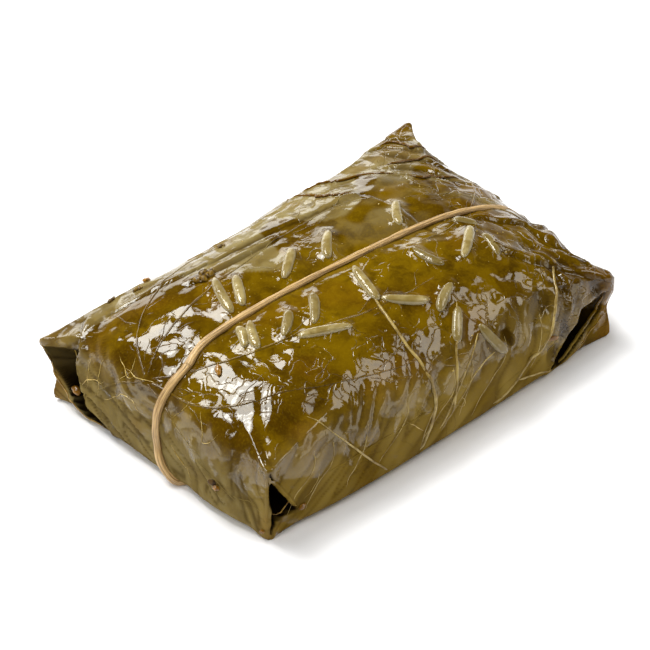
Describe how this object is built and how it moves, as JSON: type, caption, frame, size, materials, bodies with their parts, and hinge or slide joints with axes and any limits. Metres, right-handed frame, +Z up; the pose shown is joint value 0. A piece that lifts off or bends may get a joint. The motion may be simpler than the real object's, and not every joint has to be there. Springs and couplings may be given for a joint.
{
  "type": "stuffed grape leaf",
  "caption": "Flat rectangular parcel of cooked grape leaf round a rice filling, with folded corner ears, rice grains stuck on top and one thin stem tied round it lengthwise.",
  "frame": {"origin": "middle of the rectangle that the parcel covers on the surface it rests on, at that surface", "axes": "+X along the parcel's length, the way the stem runs; +Y across its width; +Z up, out of the side that carries the rice grains"},
  "size_m": [0.086, 0.056, 0.0236],
  "materials": {
    "cooked_leaf": "wet gloss, olive brown",
    "dried_stem": "satin, straw tan"
  },
  "bodies": {
    "root": {"leaf_parcel": "cooked_leaf", "stem_tie": "dried_stem"}
  },
  "joints": []
}
